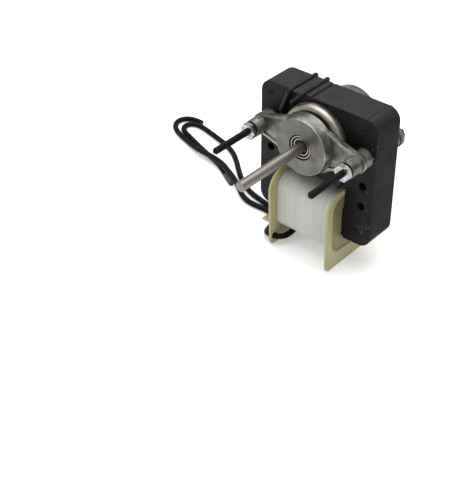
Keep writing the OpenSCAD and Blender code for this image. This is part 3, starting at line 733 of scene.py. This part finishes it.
for end, face_y, outwards in (("front", core_low.y, -1), ("rear", core_high.y, 1)):
    bracket_mesh = joined_copy(end + "_bracket")
    for face in bracket_mesh.faces:
        middle = face.calc_center_median()
        height = (middle.y - face_y) * outwards
        level = abs(face.normal.y) > 0.9
        turned = level and height > hub_front - on_level
        on_rib = level and abs(height - rib_plane) < on_level
        on_rim = (not level and height > hub_front - rim_height
            and rim_radius < math.hypot(middle.x, middle.z) < disc_radius)
        # The rib faces and the hub's rim take the lighter zinc, partly wear and partly painted
        # highlight.
        face.material_index = 2 if turned else 1 if on_rib or on_rim else 0
    round_edges(bracket_mesh, casting_rounding, clamp=False)
    new_piece(end + "_casting", bracket_mesh, [zinc, worn_and_highlit_zinc, faced_zinc],
        [end + "_bracket"])
    finish_node(end + "_bearing", bronze)
    retainer_mesh = joined_copy(end + "_bearing_retainer")
    # The crests keep the plain steel; the deeper faces and the walls take the painted shade.
    for face in retainer_mesh.faces:
        depth = hub_front - (face.calc_center_median().y - face_y) * outwards
        face.material_index = 0 if depth < crest_depth and abs(face.normal.y) > 0.5 else 1
    round_edges(retainer_mesh, retainer_rounding)
    new_piece(end + "_pressed_retainer", retainer_mesh, [crest_steel, painted_shade_steel],
        [end + "_bearing_retainer"])
    finish_node(end + "_oil_felt", felt)
    finish_node(end + "_felt_cap", plated)


# Bolts
# Two long black bolts hold both brackets to the core. Each carries a split washer and a
# bright nut in front, and its free thread, one start of 32 turns to the inch, holds the motor
# in its appliance.

blackened, blackened_tree, blackened_shader = new_material("blackened steel", "10100f", 0.42,
    gloss=0.08)
blackened_wear = noise(blackened_tree, 500, 4)
tint(blackened_tree, blackened_shader, blackened_wear, [(0.3, "0c0c0b"), (0.7, "151513")])
vary_roughness(blackened_tree, blackened_shader, blackened_wear, 0.34, 0.54)

inch = 25.4
threads_per_inch = 32
thread_pitch = inch / threads_per_inch
thread_depth = 0.24
rows_per_turn = 8
thread_sides = 24
crest_width = 1 / 3
stud_radius = 2.085
stud_tip = -28.6
tip_length = 0.9
tip_narrowing = 0.75


def threaded_stud(x):
    """A bmesh of the free end of a bolt at a place x, cut with its thread and its blunt tip."""
    rows = int(-stud_tip / thread_pitch * rows_per_turn)
    places = [stud_tip * (1 - i / rows) for i in range(rows + 1)]
    outline = [(0, stud_tip)] + [(stud_radius, y) for y in places] + [(0, 0)]
    mesh = turned_piece(outline, thread_sides)
    for vert in mesh.verts:
        reach = math.hypot(vert.co.x, vert.co.z)
        if reach < stud_radius / 2 * MM:
            continue
        y = vert.co.y / MM
        turn = math.atan2(vert.co.z, vert.co.x) / (2 * math.pi)
        wave = abs(2 * ((y / thread_pitch + turn) % 1) - 1)
        thread_radius = stud_radius - thread_depth * (1 - min(1, wave / (1 - crest_width)))
        tip_radius = stud_radius - tip_narrowing * (1 - (y - stud_tip) / tip_length)
        radius = min(thread_radius, tip_radius)
        vert.co.x *= radius * MM / reach
        vert.co.z *= radius * MM / reach
    bmesh.ops.translate(mesh, vec=(x, 0, 0), verts=mesh.verts)
    return mesh


nut_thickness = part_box("right_nut")[1].y / MM
nut_sides = 6
nut_flats = 9.5
nut_corner = nut_flats / math.sqrt(3)
nut_bore = 1.9
nut_countersink = 0.3
nut_face_radius = 4.55
nut_chamfer_slope = math.tan(math.radians(30))
nut_chamfer = (nut_corner - nut_face_radius) * nut_chamfer_slope
nut_turns = {"left": 30, "right": 20}


def cut_off(mesh, place, outwards):
    """Cuts away what a bmesh has beyond a place in a direction, and closes the cut."""
    bmesh.ops.bisect_plane(mesh, geom=mesh.verts[:] + mesh.edges[:] + mesh.faces[:],
        plane_co=place, plane_no=outwards, clear_outer=True)
    bmesh.ops.holes_fill(mesh, edges=[edge for edge in mesh.edges if edge.is_boundary])


def hexagon_nut(x, turned_by):
    """A bmesh of a nut: a ring turned with its chamfers, then cut to its six flats."""
    mesh = turned_piece([(nut_bore, nut_countersink), (nut_bore + nut_countersink, 0),
        (nut_face_radius, 0), (nut_corner, nut_chamfer), (nut_corner, nut_thickness - nut_chamfer),
        (nut_face_radius, nut_thickness), (nut_bore + nut_countersink, nut_thickness),
        (nut_bore, nut_thickness - nut_countersink), (nut_bore, nut_countersink)])
    for i in range(nut_sides):
        turn = math.radians(turned_by + 360 / nut_sides * i)
        outwards = Vector((math.cos(turn), 0, math.sin(turn)))
        cut_off(mesh, outwards * nut_flats / 2 * MM, outwards)
    bmesh.ops.translate(mesh, vec=(x, 0, 0), verts=mesh.verts)
    return mesh


stud_from = (0, 0.05 * MM, 0)
head_rounding = 0.2 * MM
washer_rounding = 0.12 * MM

for side in ("left", "right"):
    bolt_low, bolt_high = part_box(side + "_through_bolt")
    stud_x = (bolt_low.x + bolt_high.x) / 2
    bolt_mesh = joined_copy(side + "_through_bolt")
    cut_off(bolt_mesh, stud_from, (0, -1, 0))
    round_edges(bolt_mesh, head_rounding, lambda middle: middle.y > core_high.y)
    join_into(bolt_mesh, threaded_stud(stud_x), side + "_stud")
    new_piece(side + "_threaded_bolt", bolt_mesh, [blackened],
        [side + "_through_bolt"])
    washer_mesh = joined_copy(side + "_lock_washer")
    round_edges(washer_mesh, washer_rounding)
    new_piece(side + "_split_washer", washer_mesh, [blackened],
        [side + "_lock_washer"])
    new_piece(side + "_hexagon_nut", hexagon_nut(stud_x, nut_turns[side]), [plated],
        [side + "_nut"])
